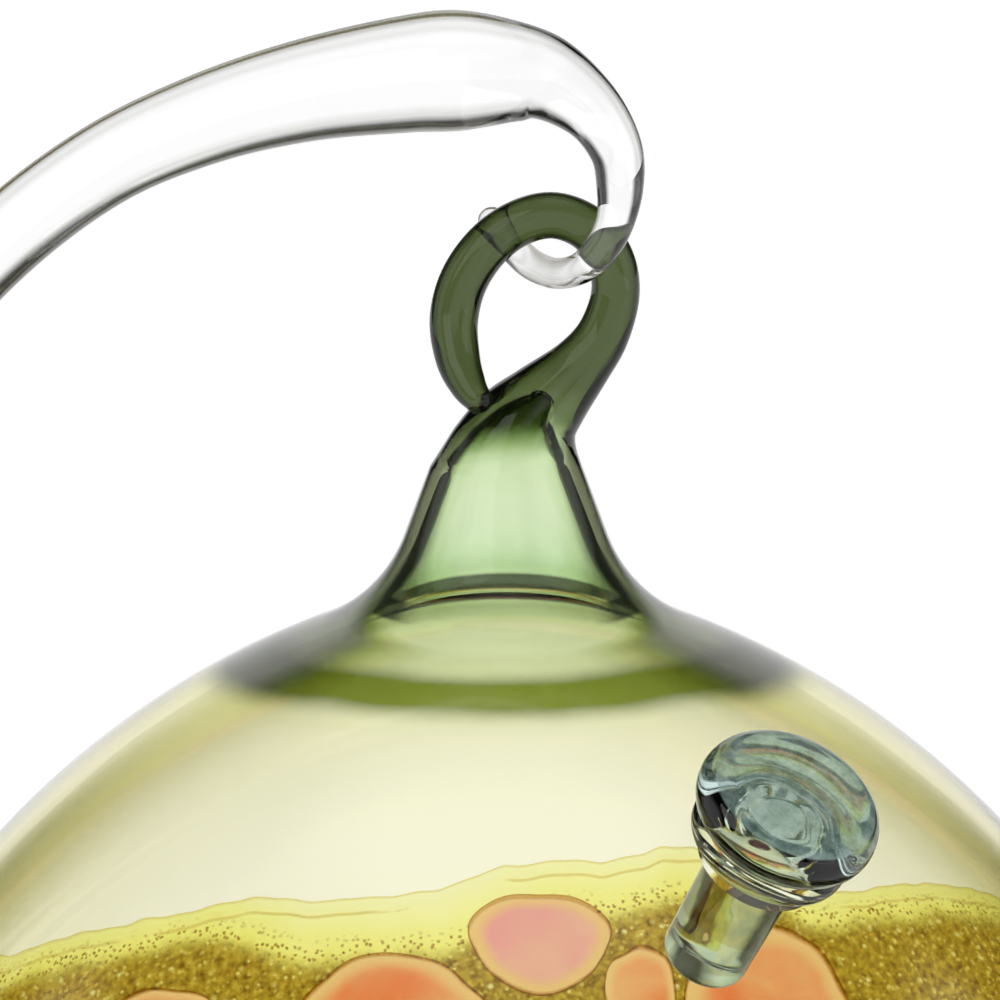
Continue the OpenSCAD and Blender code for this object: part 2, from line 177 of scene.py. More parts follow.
def loft(bm, rings, inward=False):
    """Closed skin over rings; each end is closed by a fan to its middle."""
    rows = [[bm.verts.new(Vector(p) * MM) for p in r] for r in rings]
    n = len(rows[0])

    def face(*v):
        bm.faces.new(v[::-1] if inward else v)

    for a, b in zip(rows, rows[1:]):
        for k in range(n):
            face(a[k], a[(k + 1) % n], b[(k + 1) % n], b[k])
    for row, pts, flip in ((rows[0], rings[0], True), (rows[-1], rings[-1], False)):
        tip = bm.verts.new(Vector(np.mean(pts, axis=0)) * MM)
        for k in range(n):
            v = (row[k], row[(k + 1) % n], tip)
            face(*(v[::-1] if flip else v))


def lathe_rings(profile, sides=SIDES):
    """A circle of points round Z for each (radius, height)."""
    a = np.arange(sides) * 2 * math.pi / sides
    return [
        np.stack([r * np.cos(a), r * np.sin(a), np.full(sides, z)], 1) for r, z in profile
    ]


def piece(name, bm, body):
    """Make a smooth-shaded object from the mesh and let it ride on the body, if one is given."""
    mesh = bpy.data.meshes.new(name)
    bm.to_mesh(mesh)
    bm.free()
    ob = bpy.data.objects.new(name, mesh)
    bpy.context.scene.collection.objects.link(ob)
    mesh.polygons.foreach_set("use_smooth", [True] * len(mesh.polygons))
    if body:
        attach(ob, body)
    return ob


def lathe(name, profile, body, place=None, sides=SIDES):
    """A turned solid from an open profile of (radius, height) that starts and ends on the axis."""
    bm = bmesh.new()
    loft(bm, lathe_rings(profile, sides))
    if place is not None:
        bm.transform(place)
    return piece(name, bm, body)


def turned_ring(name, profile, body, place=None, sides=SIDES):
    """A turned ring from a closed profile of (radius, height)."""
    bm = bmesh.new()
    rows = [[bm.verts.new(Vector(p) * MM) for p in r] for r in lathe_rings(profile, sides)]
    m = len(rows)
    for i in range(m):
        a, b = rows[i], rows[(i + 1) % m]
        for k in range(sides):
            bm.faces.new((a[k], a[(k + 1) % sides], b[(k + 1) % sides], b[k]))
    bmesh.ops.recalc_face_normals(bm, faces=bm.faces)
    if place is not None:
        bm.transform(place)
    return piece(name, bm, body)


def arc(cx, cz, r, a0, a1, n):
    """Points of an arc; angles in degrees from +X."""
    return [
        (cx + r * math.cos(math.radians(a)), cz + r * math.sin(math.radians(a)))
        for a in np.linspace(a0, a1, n)
    ]


def boolean(ob, cutter, how):
    """Join the cutter to ob, or cut it out, and drop the cutter."""
    mod = ob.modifiers.new("cut", "BOOLEAN")
    mod.object = cutter
    mod.operation = how
    mod.solver = "EXACT"
    dg = bpy.context.evaluated_depsgraph_get()
    mesh = bpy.data.meshes.new_from_object(ob.evaluated_get(dg))
    ob.modifiers.clear()
    old = ob.data
    ob.data = mesh
    bpy.data.meshes.remove(old)
    bpy.data.objects.remove(cutter)
    ob.data.polygons.foreach_set("use_smooth", [True] * len(ob.data.polygons))


def sharpen(ob, degrees=35):
    """Smooth shading that breaks at real edges."""
    bm = bmesh.new()
    bm.from_mesh(ob.data)
    limit = math.radians(degrees)
    for e in bm.edges:
        e.smooth = not (len(e.link_faces) == 2 and e.calc_face_angle(0) > limit)
    bm.to_mesh(ob.data)
    bm.free()


def mark(ob, name, value):
    """Store a number under a name at each vertex, for the material to read."""
    layer = ob.data.attributes.new(name, "FLOAT", "POINT")
    for v in ob.data.vertices:
        layer.data[v.index].value = value(v)


def port_place():
    """From the port's own frame, Z along its axis from the globe's centre, to the row frame."""
    turn = PORT.to_track_quat("Z", "Y").to_matrix().to_4x4()
    return Matrix.Translation((0, 0, GLOBE_Z * MM)) @ turn


def shift(v):
    return Matrix.Translation(Vector(v))


# ---- Materials ----


class Nodes:
    """A short way to build one material's node tree."""

    def __init__(self, name):
        self.mat = bpy.data.materials.new(name)
        self.mat.use_nodes = True
        self.tree = self.mat.node_tree
        self.tree.nodes.clear()
        self.out = self.tree.nodes.new("ShaderNodeOutputMaterial")

    def add(self, kind, props=None, **inputs):
        n = self.tree.nodes.new("ShaderNode" + kind)
        for k, v in (props or {}).items():
            setattr(n, k, v)
        for k, v in inputs.items():
            self.put(n, k.replace("_", " "), v)
        return n

    def put(self, n, key, v):
        socket = n.inputs[int(key) if key.isdigit() else key]
        if isinstance(v, bpy.types.NodeSocket):
            self.tree.links.new(v, socket)
        else:
            socket.default_value = v

    def place(self):
        return self.add("TexCoord").outputs["Object"]

    def split(self, vector):
        return self.add("SeparateXYZ", Vector=vector).outputs

    def math(self, op, a, b=0.0, clamp=False):
        n = self.add("Math", {"operation": op, "use_clamp": clamp})
        self.put(n, "0", a)
        self.put(n, "1", b)
        return n.outputs[0]

    def span(self, v, a, b, to_a=0.0, to_b=1.0):
        n = self.add("MapRange", {"interpolation_type": "SMOOTHSTEP"})
        for i, x in enumerate((v, a, b, to_a, to_b)):
            self.put(n, str(i), x)
        return n.outputs[0]

    def noise(self, vector, scale, detail=3.0, rough=0.5, warp=0.0):
        n = self.add("TexNoise", Vector=vector, Scale=scale, Detail=detail)
        n.inputs["Roughness"].default_value = rough
        n.inputs["Distortion"].default_value = warp
        return n.outputs["Fac"]

    def between(self, v, rise, fall):
        """1 between two soft edges and 0 outside; each edge is where it starts and ends."""
        return self.math("MULTIPLY", self.span(v, *rise), self.span(v, *fall, 1.0, 0.0))

    def wander(self, vector, scale, detail, reach):
        """A number that drifts from place to place, about reach / 2 either way."""
        off_centre = self.math("SUBTRACT", self.noise(vector, scale, detail), 0.5)
        return self.math("MULTIPLY", off_centre, reach)

    def cells(self, vector, scale):
        return self.add("TexVoronoi", Vector=vector, Scale=scale).outputs["Distance"]

    def stored(self, name):
        """The number that mark() or a vertex layer keeps under this name."""
        return self.add("Attribute", {"attribute_name": name}).outputs["Fac"]

    def facing(self):
        """0 where the wall is seen face-on, 1 where it is seen edge-on."""
        return self.add("LayerWeight", Blend=0.5).outputs["Facing"]

    def ramp(self, fac, stops):
        n = self.add("ValToRGB")
        cr = n.color_ramp
        while len(cr.elements) < len(stops):
            cr.elements.new(0.5)
        for e, (pos, col) in zip(cr.elements, stops):
            e.position = pos
            e.color = (*col, 1)
        self.put(n, "Fac", fac)
        return n.outputs["Color"]

    def mix(self, fac, a, b, blend="MIX"):
        n = self.add("Mix", {"data_type": "RGBA", "blend_type": blend})
        n.inputs[0].default_value = 0.5
        if isinstance(fac, bpy.types.NodeSocket):
            self.tree.links.new(fac, n.inputs[0])
        else:
            n.inputs[0].default_value = fac
        for socket, v in ((n.inputs[6], a), (n.inputs[7], b)):
            if isinstance(v, bpy.types.NodeSocket):
                self.tree.links.new(v, socket)
            else:
                socket.default_value = (*v, 1)
        return n.outputs[2]

    def bump(self, height, strength, distance):
        n = self.add("Bump", Strength=strength, Distance=distance, Height=height)
        return n.outputs["Normal"]

    def principled(self, colour, rough=0.05, **more):
        n = self.add("BsdfPrincipled")
        if isinstance(colour, bpy.types.NodeSocket):
            self.tree.links.new(colour, n.inputs["Base Color"])
        else:
            n.inputs["Base Color"].default_value = (*colour, 1)
        self.put(n, "Roughness", rough)
        for k, v in more.items():
            self.put(n, k.replace("_", " "), v)
        return n

    def edge_shade(self, stops):
        """Painted edge shade: the tint darkens as the wall is seen edge-on. Thick glass deepens a
        little there, but most of this dark stands in for the dark surroundings its edges refract.
        """
        return self.ramp(self.facing(), stops)

    def times(self, colour, shade, fac=1.0):
        return self.mix(fac, colour, shade, "MULTIPLY")

    def blend(self, fac, a, b):
        """Shader a where fac is 0 and shader b where it is 1."""
        n = self.add("MixShader")
        self.put(n, "0", fac)
        self.put(n, "1", a)
        self.put(n, "2", b)
        return n.outputs[0]

    def film(self, colour, rough, cover):
        """A thin tinted film that lights up from behind; cover is the share that is opaque."""
        lit = self.principled(colour, rough).outputs[0]
        glow = self.add("BsdfTranslucent", Color=colour).outputs[0]
        # Light passes the film's front and back face, so each takes the root of its tint.
        root = self.add("Gamma", Color=colour, Gamma=0.5).outputs[0]
        clear = self.add("BsdfTransparent", Color=root).outputs[0]
        return self.blend(cover, clear, self.blend(0.7, lit, glow))

    def finish(self, shader):
        self.tree.links.new(shader, self.out.inputs["Surface"])
        return self.mat


def dress(ob, mat):
    """Give the piece its only material."""
    ob.data.materials.clear()
    ob.data.materials.append(mat)
    return ob


def clear_glass():
    """Clear soda glass with a faint grey tint and the shallow waves of hand drawing, with painted
    edge shade.
    """
    m = Nodes("clear_glass")
    p = m.place()
    wave = m.noise(p, 60.0, 1.0)
    normal = m.bump(wave, 0.12, 0.001)
    tint = m.mix(m.noise(p, 25.0), (0.985, 0.99, 0.985), (0.95, 0.96, 0.955))
    # Painted shade: grey bands and near-black edges where the glass is seen edge-on.
    tint = m.times(tint, m.edge_shade([
        (0.18, (1, 1, 1)), (0.28, (0.66, 0.65, 0.64)), (0.38, (0.82, 0.82, 0.81)),
        (0.50, (0.42, 0.41, 0.38)), (0.66, (0.24, 0.22, 0.19)), (0.84, (0.08, 0.07, 0.06)),
    ]))
    n = m.principled(tint, 0.0, Transmission_Weight=1.0, IOR=1.5, Normal=normal)
    return m.finish(n.outputs[0])


def globe_glass():
    """Bottle green at the loop and neck, an olive ring at the neck's foot, cream below; painted
    shade darkens the edges and draws a dark line at the bore's bend.
    """
    m = Nodes("globe_glass")
    p = m.place()
    z = m.split(p)[2]
    height = m.math("ADD", z, m.wander(p, 40.0, 2.0, 3.0 * MM))
    # Tints of one pass through the wall, by height in millimetres.
    stops = [
        (150.0, (0.947, 0.942, 0.807)),
        (157.5, (0.94, 0.94, 0.76)),
        (160.0, (0.84, 0.87, 0.55)),
        (162.5, (0.82, 0.90, 0.56)),
        (165.0, (0.80, 0.90, 0.58)),
        (168.0, (0.66, 0.80, 0.55)),
        (170.5, (0.74, 0.85, 0.64)),
        (176.0, (0.81, 0.89, 0.71)),
        (181.0, (0.78, 0.87, 0.66)),
        (182.8, (0.46, 0.58, 0.32)),
        (184.5, (0.14, 0.19, 0.07)),
        (188.0, (0.075, 0.10, 0.035)),
    ]
    low, reach = 150.0, 45.0
    share = m.math("DIVIDE", m.math("SUBTRACT", height, low * MM), reach * MM, True)
    colour = m.ramp(share, [((mm - low) / reach, tint) for mm, tint in stops])
    # Painted shade on the outer wall, by how edge-on it is seen: yellower then near black at the
    # dome's edges, near black at the neck's foot and along the neck's sides.
    dome_edge_shade = m.edge_shade([
        (0.30, (1, 1, 1)), (0.48, (1.0, 0.98, 0.80)), (0.625, (0.98, 0.90, 0.36)),
        (0.80, (0.72, 0.66, 0.32)), (0.92, (0.16, 0.14, 0.08)), (1.0, (0.02, 0.016, 0.012)),
    ])
    foot = m.edge_shade([
        (0.49, (1, 1, 1)), (0.525, (0.64, 0.69, 0.46)), (0.545, (0.46, 0.49, 0.27)),
        (0.57, (0.22, 0.25, 0.10)), (0.60, (0.08, 0.09, 0.05)), (0.64, (0.035, 0.035, 0.028)),
        (1.0, (0.02, 0.02, 0.018)),
    ])
    neck = m.edge_shade([
        (0.14, (1, 1, 1)), (0.26, (0.72, 0.80, 0.60)), (0.38, (0.20, 0.23, 0.13)),
        (0.50, (0.07, 0.065, 0.045)), (1.0, (0.05, 0.045, 0.04)),
    ])
    skin = m.mix(m.span(z, 158.0 * MM, 160.5 * MM), dome_edge_shade, foot)
    skin = m.mix(m.span(z, 166.0 * MM, 169.0 * MM), skin, neck)
    facing = m.facing()
    # The olive ring lies where the neck's glass was gathered on to the dome. Its olive is the
    # glass's own, but it is painted shade as well: faint face-on, near black where the wall is seen
    # edge-on.
    ring = m.between(height, (158.8 * MM, 160.6 * MM), (162.2 * MM, 163.8 * MM))
    ring = m.math("MULTIPLY", ring, m.span(facing, 0.24, 0.36, 0.08, 1.0))
    skin = m.times(skin, (0.08, 0.115, 0.006), ring)
    # Painted shade: one dark line on the lining at the tight bend where the neck's bore opens, for
    # the light that the bend turns away by internal reflection.
    bend_line_shade = m.between(z, (164.8 * MM, 165.2 * MM), (166.7 * MM, 167.2 * MM))
    bend_line_shade = m.math("MULTIPLY", bend_line_shade, m.span(facing, 0.18, 0.26))
    # Painted shade on the lining: a milder darkening where it is seen edge-on.
    lining = m.edge_shade([(0.55, (1, 1, 1)), (0.85, (0.45, 0.48, 0.36))])
    lining = m.times(lining, (0.03, 0.03, 0.035), bend_line_shade)
    # The painted shade of the outer wall and of the lining darkens the tint by height.
    colour = m.times(colour, m.mix(m.stored("inside"), skin, lining))
    normal = m.bump(m.noise(p, 45.0, 1.0), 0.06, 0.001)
    n = m.principled(colour, 0.0, Transmission_Weight=1.0, IOR=1.35, Normal=normal)
    return m.finish(n.outputs[0])


def port_glass():
    m = Nodes("port_glass")
    tint = m.mix(m.noise(m.place(), 60.0), (0.88, 0.88, 0.68), (0.82, 0.84, 0.60))
    n = m.principled(tint, 0.0, Transmission_Weight=1.0, IOR=1.5)
    return m.finish(n.outputs[0])


def jade_glass():
    """Teal head with a frosted dish, and long olive lines down the shank, with painted shade at its
    edges.
    """
    m = Nodes("jade_glass")
    p = m.place()
    tint = m.mix(m.noise(p, 120.0), (0.60, 0.78, 0.74), (0.72, 0.86, 0.82))
    lines = m.noise(m.add("Mapping", Vector=p, Scale=(420.0, 420.0, 60.0)).outputs[0], 1.0, 2.0)
    olive = m.ramp(lines, [
        (0.35, (0.30, 0.36, 0.26)), (0.5, (0.52, 0.52, 0.26)), (0.65, (0.42, 0.54, 0.44)),
    ])
    tint = m.mix(m.span(m.stored("shank"), 0.3, 0.7), tint, olive)
    # Painted shade: darker where the glass is seen edge-on.
    tint = m.times(tint, m.edge_shade([
        (0.35, (1, 1, 1)), (0.55, (0.55, 0.58, 0.50)), (0.75, (0.14, 0.14, 0.12)),
    ]))
    wave = m.bump(m.noise(p, 160.0, 2.0), 0.15, 0.0006)
    glass = m.principled(tint, 0.0, Transmission_Weight=1.0, IOR=1.45, Normal=wave)
    cloud = m.noise(p, 520.0, 4.0, 0.7)
    frost = m.ramp(cloud, [
        (0.35, (0.13, 0.22, 0.19)), (0.5, (0.27, 0.42, 0.37)), (0.65, (0.46, 0.62, 0.57)),
    ])
    skin = m.principled(frost, 0.3, Normal=m.bump(cloud, 0.5, 0.0004))
    frosted = m.math("MULTIPLY", m.span(m.stored("face"), 0.2, 0.8), 0.55)
    return m.finish(m.blend(frosted, glass.outputs[0], skin.outputs[0]))


def leaf_finish():
    """Lime-yellow film at the torn upper edge and gold speckle below it."""
    m = Nodes("leaf_speckle")
    p = m.place()
    edge = m.stored("from_edge")
    cloud = m.noise(p, 90.0, 4.0, 0.6)
    fine = m.noise(p, 1100.0, 3.0, 0.65)
    dots = m.cells(p, 900.0)
    big = m.cells(p, 420.0)
    depth = m.math("ADD", edge, m.math("MULTIPLY", m.math("SUBTRACT", cloud, 0.5), 4.0))
    # Towards the sides the speckle starts closer to the torn edge.
    sideways = m.math("ABSOLUTE", m.split(p)[0])
    depth = m.math("ADD", depth, m.span(sideways, 20.0 * MM, 34.0 * MM, 0.0, 3.2))
    speckled = m.span(depth, 5.5, 8.5)
    lime = m.ramp(m.math("DIVIDE", depth, 10.0, True), [
        (0.0, (1.0, 1.0, 0.66)),
        (0.3, (1.0, 0.99, 0.46)),
        (0.55, (0.97, 0.94, 0.30)),
        (0.85, (0.84, 0.78, 0.13)),
    ])
    gold = m.ramp(fine, [
        (0.32, (0.24, 0.12, 0.01)),
        (0.45, (0.50, 0.33, 0.03)),
        (0.58, (0.66, 0.47, 0.05)),
        (0.75, (0.86, 0.70, 0.14)),
    ])
    gold = m.mix(m.span(dots, 0.20, 0.27, 1.0, 0.0), gold, (0.97, 0.88, 0.32))
    gold = m.mix(m.span(big, 0.12, 0.18, 0.9, 0.0), gold, (1.0, 0.96, 0.48))
    # Dark specks gather along the line where lime turns to gold.
    shore = m.between(depth, (3.8, 5.5), (6.0, 8.0))
    specks = m.math("MULTIPLY", m.span(m.cells(p, 1300.0), 0.20, 0.34, 1.0, 0.0), shore)
    colour = m.mix(speckled, lime, gold)
    colour = m.mix(specks, colour, (0.26, 0.13, 0.01))
    # A second sheet ends just below the torn edge and leaves a thin darker line.
    seam = m.between(edge, (1.55, 1.68), (1.74, 1.9))
    seam = m.math("MULTIPLY", seam, m.span(cloud, 0.40, 0.50))
    torn = m.span(edge, 0.05, 0.22, 0.6, 0.0)
    colour = m.mix(m.math("MAXIMUM", seam, torn), colour, (0.72, 0.58, 0.16))
    film = m.film(colour, 0.35, m.span(speckled, 0.0, 1.0, 0.04, 0.20))
    # Where a patch is fused in there is no film, so nothing of it shows.
    bare = m.add("BsdfTransparent").outputs[0]
    return m.finish(m.blend(m.span(m.stored("from_patch"), 0.975, 1.0), bare, film))


def patch_finish(name, core, flame, seed):
    """Fused coloured glass: mottled flame tones with a dark brown rim."""
    m = Nodes(name)
    p = m.add("Mapping", Vector=m.place(), Location=(seed, seed * 0.7, 0)).outputs[0]
    rim = m.stored("rim")
    cloud = m.noise(p, 90.0, 3.0, 0.55, 0.4)
    body = m.ramp(cloud, [(0.30, core), (0.62, flame)])
    streak = m.noise(p, 420.0, 3.0, 0.7)
    body = m.mix(m.span(streak, 0.60, 0.80, 0.0, 0.25), body, (0.75, 0.32, 0.10))
    halo = m.span(rim, 0.66, 0.92)
    body = m.mix(halo, body, (1.0, 0.70, 0.32))
    outline = m.math("ADD", rim, m.wander(p, 300.0, 2.0, 0.04))
    colour = m.mix(m.span(outline, 0.965, 0.995, 0.0, 0.8), body, (0.55, 0.25, 0.07))
    return m.finish(m.film(colour, 0.3, 0.12))


def liquid_finish():
    m = Nodes("clear_liquid")
    tint = m.mix(m.noise(m.place(), 20.0), (0.985, 0.99, 0.975), (0.97, 0.98, 0.955))
    n = m.principled(tint, 0.0, Transmission_Weight=1.0, IOR=1.36)
    return m.finish(n.outputs[0])


def float_glass():
    m = Nodes("float_glass")
    tint = m.mix(m.noise(m.place(), 80.0), (0.97, 0.99, 1.0), (0.94, 0.97, 0.98))
    n = m.principled(tint, 0.0, Transmission_Weight=1.0, IOR=1.2)
    return m.finish(n.outputs[0])


def dye_finish(name, colour):
    m = Nodes(name)
    p = m.place()
    deep = tuple(0.55 * c for c in colour)
    tone = m.mix(m.noise(p, 120.0, 2.0), colour, deep)
    lit = m.principled(tone, 0.08).outputs[0]
    glow = m.add("BsdfTranslucent", Color=tone).outputs[0]
    return m.finish(m.blend(0.45, lit, glow))


def brass_finish():
    m = Nodes("tag_brass")
    p = m.place()
    grain = m.add("Mapping", Vector=p, Scale=(60.0, 400.0, 3000.0)).outputs[0]
    lines = m.noise(grain, 1.0, 4.0)
    stain = m.noise(p, 260.0, 4.0, 0.6)
    colour = m.mix(m.span(stain, 0.45, 0.75), (0.88, 0.66, 0.30), (0.60, 0.40, 0.16))
    rough = m.span(lines, 0.2, 0.8, 0.18, 0.38)
    n = m.principled(colour, rough, Metallic=1.0, Normal=m.bump(lines, 0.25, 0.0001))
    return m.finish(n.outputs[0])


def ink_finish():
    m = Nodes("numeral_enamel")
    tone = m.mix(m.noise(m.place(), 500.0), (0.02, 0.02, 0.02), (0.05, 0.045, 0.04))
    return m.finish(m.principled(tone, 0.35).outputs[0])


# ---- Camera, floor, light ----

# A long lens, looking down a little on the hook, the neck and the dome's upper half.
VIEW_DOWN = math.radians(9)
DISTANCE = 1.2
FIELD = 0.1
SENSOR = 36
target = Vector((-0.0006, 0, 0.1767))
camera = bpy.data.objects.new("camera", bpy.data.cameras.new("camera"))
bpy.context.scene.collection.objects.link(camera)
forward = Vector((0, math.cos(VIEW_DOWN), -math.sin(VIEW_DOWN)))
camera.location = target - DISTANCE * forward
camera.rotation_mode = "QUATERNION"
camera.rotation_quaternion = forward.to_track_quat("-Z", "Y")
camera.data.lens = SENSOR * DISTANCE / FIELD
camera.data.clip_start, camera.data.clip_end = 0.01, 60
bpy.context.scene.camera = camera


def floor():
    """A white table that glows a little, so that it stays pale up to the edge of the view."""
    bm = bmesh.new()
    bmesh.ops.create_grid(bm, x_segments=2, y_segments=2, size=12)
    ob = piece("floor", bm, None)
    m = Nodes("floor_paint")
    tone = m.mix(m.noise(m.place(), 4.0), (0.84, 0.84, 0.84), (0.87, 0.87, 0.87))
    paint = m.principled(tone, 0.6, Emission_Color=(1, 1, 1, 1), Emission_Strength=0.68)
    dress(ob, m.finish(paint.outputs[0]))
    ob.location.z = -0.0002


def studio():
    """A bright surround with soft dark flags between its panels, which draw glass edges."""
    world = bpy.data.worlds.new("studio")
    bpy.context.scene.world = world
    world.use_nodes = True
    t = world.node_tree
    t.nodes.clear()

    def add(kind, **props):
        n = t.nodes.new("ShaderNode" + kind)
        for k, v in props.items():
            setattr(n, k, v)
        return n

    def maths(op, a, b=0.0, clamp=False):
        n = add("Math", operation=op, use_clamp=clamp)
        for s, v in zip(n.inputs, (a, b)):
            if isinstance(v, bpy.types.NodeSocket):
                t.links.new(v, s)
            else:
                s.default_value = v
        return n.outputs[0]

    xyz = add("SeparateXYZ")
    t.links.new(add("TexCoord").outputs["Generated"], xyz.inputs[0])
    azimuth = maths("ARCTAN2", xyz.outputs[0], xyz.outputs[1])
    up = xyz.outputs[2]
    # Upright panels all round, with dark flags between them.
    panel_count = 4.0
    lobes = maths("COSINE", maths("MULTIPLY", azimuth, panel_count))
    panel = maths("ADD", maths("MULTIPLY", lobes, 1.5), 0.6, True)
    panel = maths("MULTIPLY", panel, maths("MULTIPLY", maths("SUBTRACT", 0.62, up), 6.0, True))
    # One more panel overhead.
    over = maths("MULTIPLY", maths("SUBTRACT", up, 0.84), 8.0, True)
    bright = maths("MAXIMUM", panel, over)
    darkest = 0.03
    level = maths("ADD", maths("MULTIPLY", bright, 1.0 - darkest), darkest)
    path = add("LightPath")
    shown = maths("MAXIMUM", level, path.outputs["Is Camera Ray"])
    back = add("Background")
    t.links.new(shown, back.inputs["Color"])
    back.inputs["Strength"].default_value = 1.0
    out = add("OutputWorld")
    t.links.new(back.outputs[0], out.inputs[0])


def lamp(name, place, aim, size, power):
    """A soft rectangular lamp, its size in metres and its power in watts."""
    light = bpy.data.lights.new(name, "AREA")
    light.shape = "RECTANGLE"
    light.size, light.size_y = size
    light.energy = power
    ob = bpy.data.objects.new(name, light)
    ob.location = place
    ob.rotation_mode = "QUATERNION"
    ob.rotation_quaternion = (Vector(aim) - Vector(place)).to_track_quat("-Z", "Y")
    bpy.context.scene.collection.objects.link(ob)


MID_HEIGHT = (0, 0, 0.13)
# Enough bounces for light to pass the globe, the liquid and a float, and come out again.
BOUNCES = 24
floor()
studio()
lamp("key", (-0.7, -0.9, 0.9), MID_HEIGHT, (0.8, 0.8), 3)
lamp("fill", (0.9, -0.6, 0.5), MID_HEIGHT, (0.5, 0.9), 1.5)
scene = bpy.context.scene
scene.view_settings.view_transform = "Standard"
scene.cycles.max_bounces = BOUNCES
scene.cycles.transmission_bounces = BOUNCES
scene.cycles.transparent_max_bounces = BOUNCES


# ---- Stand ----


def make_stand():
    """Foot, root and arm as one piece of clear glass."""
    bm = bmesh.new()
    below = (STEM_X, 0, 8.0, STEM_ROOT_R)
    stem = [(x, y, z, r - TRIM) for x, y, z, r in [below] + STEM]
    loft(bm, tube_rings(stem, 1, 10, 64))
    arm = piece("stand_neck_part", bm, None)
    top = [
        (r, FOOT_TOP_Z - FOOT_DOME_R + math.sqrt(FOOT_DOME_R ** 2 - r * r))
        for r in np.linspace(FOOT_R - 3.6, 0.01, 40)
    ]
    edge = arc(FOOT_R - FOOT_EDGE_R, FOOT_EDGE_R, FOOT_EDGE_R, -90, 48, 14)
    underside = [(0.01, 0)] + [(r, 0) for r in np.linspace(4, FOOT_R - 3, 20)]
    foot = lathe("stand_glass", underside + edge + top, None, sides=160)
    sweep = arc(STEM_ROOT_R + BOSS_SWEEP_R, BOSS_TOP_Z, BOSS_SWEEP_R, -98, -180, 16)
    root = [(0.01, 1.0), (BOSS_R, 1.0), (BOSS_R, 8.0)] + sweep + [(0.01, BOSS_TOP_Z)]
    boss = lathe("boss_part", root, None, shift((STEM_X * MM, 0, 0)), 96)
    boolean(foot, boss, "UNION")
    boolean(foot, arm, "UNION")
    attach(foot, "stand")
    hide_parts("stand_base", "stand_stem", "stand_hook")
    sharpen(foot, 50)
    return dress(foot, clear_glass())


# ---- Globe ----


def outline(t, samples):
    """Half outline from the bottom up to the neck's top, taken in by t.

    A ball, a flatter shoulder, a fillet that touches shoulder and neck, and the tapered neck.
    """
    r2 = GLOBE_R + SHOULDER_SHIFT
    cx = -SHOULDER_SHIFT * math.sin(SHOULDER_ANGLE)
    cz = GLOBE_Z - SHOULDER_SHIFT * math.cos(SHOULDER_ANGLE)
    length = math.sqrt(1 + TAPER ** 2)
    nx, nz = 1 / length, TAPER / length
    a = NECK_R + FILLET * nx - cx
    b = NECK_Z + FILLET * nz - cz
    qa, qb, qc = 1 + TAPER ** 2, 2 * (a * TAPER - b), a * a + b * b - (r2 + FILLET) ** 2
    run = (-qb - math.sqrt(qb * qb - 4 * qa * qc)) / (2 * qa)
    fx, fz = a + TAPER * run + cx, b - run + cz
    join = math.degrees(math.atan2(fz - cz, fx - cx))
    lean = math.degrees(math.atan2(nz, nx))
    ball = arc(0, GLOBE_Z, GLOBE_R - t, -89.9, 90 - math.degrees(SHOULDER_ANGLE), samples)
    shoulder = arc(cx, cz, r2 - t, 90 - math.degrees(SHOULDER_ANGLE), join, samples // 2)
    fillet = arc(fx, fz, FILLET + t, join - 180, lean - 180, samples // 4)
    top = (NECK_R - t * length, NECK_Z)
    last = fillet[-1]
    cone = [
        (last[0] + (top[0] - last[0]) * s, last[1] + (top[1] - last[1]) * s)
        for s in np.linspace(0.1, 0.9, 8)
    ]
    return ball + shoulder[1:] + fillet[1:] + cone


def make_globe():
    """Globe, neck and loop as one hollow piece, with the hole for the port."""
    sides, samples = 128, 80
    bm = bmesh.new()
    loft(bm, lathe_rings(outline(0, samples), sides) + tube_rings(LOOP, 6, 8, sides))
    loft(bm, lathe_rings(outline(WALL, samples), sides) + tube_rings(HOLLOW, 6, 8, sides), True)
    ob = piece("globe_glass", bm, None)
    hole_r = SOCKET_R + 0.02
    drill = [(0.01, 60), (hole_r, 60), (hole_r, 76), (0.01, 76)]
    hole = lathe("hole", drill, None, port_place(), 96)
    boolean(ob, hole, "DIFFERENCE")
    sharpen(ob, 40)
    # Up to the first height, outwards means away from the ball's centre; above it, away from the
    # axis. The bore ends below the second.
    ball_top, bore_top = 150, 184

    def lining(v):
        x, y, z = v.co / MM
        outwards = Vector((x, y, z - GLOBE_Z if z < ball_top else 0))
        return 1.0 if z < bore_top and v.normal.dot(outwards) < 0 else 0.0

    mark(ob, "inside", lining)
    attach(ob, "globe")
    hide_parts("globe_shell", "hanging_loop")
    return dress(ob, globe_glass())


def make_port():
    """The rolled lip, and the collar that sets it in the wall."""
    foot = COLLAR_FOOT
    bead_r = 0.95
    profile = (
        [(BORE_R, foot + 0.25), (BORE_R, foot + 0.95), (BORE_R, foot + 1.65)]
        + arc(BORE_R + 1.8, foot + 2.25, 1.8, 190, 118, 8)
        + arc(LIP_R - bead_r, foot + 3.7, bead_r, 110, -70, 14)
        + [(LIP_R - 1.3, foot + 2.5), (LIP_R - 1.7, foot + 2.3), (SOCKET_R, foot + 2.15)]
        + [(SOCKET_R, foot + 1.15), (SOCKET_R, foot + 0.25)]
        + [(SOCKET_R - 0.2, foot), (BORE_R + 0.3, foot)]
    )
    collar = turned_ring("port_lip", profile, "globe", port_place())
    sharpen(collar, 50)
    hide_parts("port_collar")
    return dress(collar, port_glass())


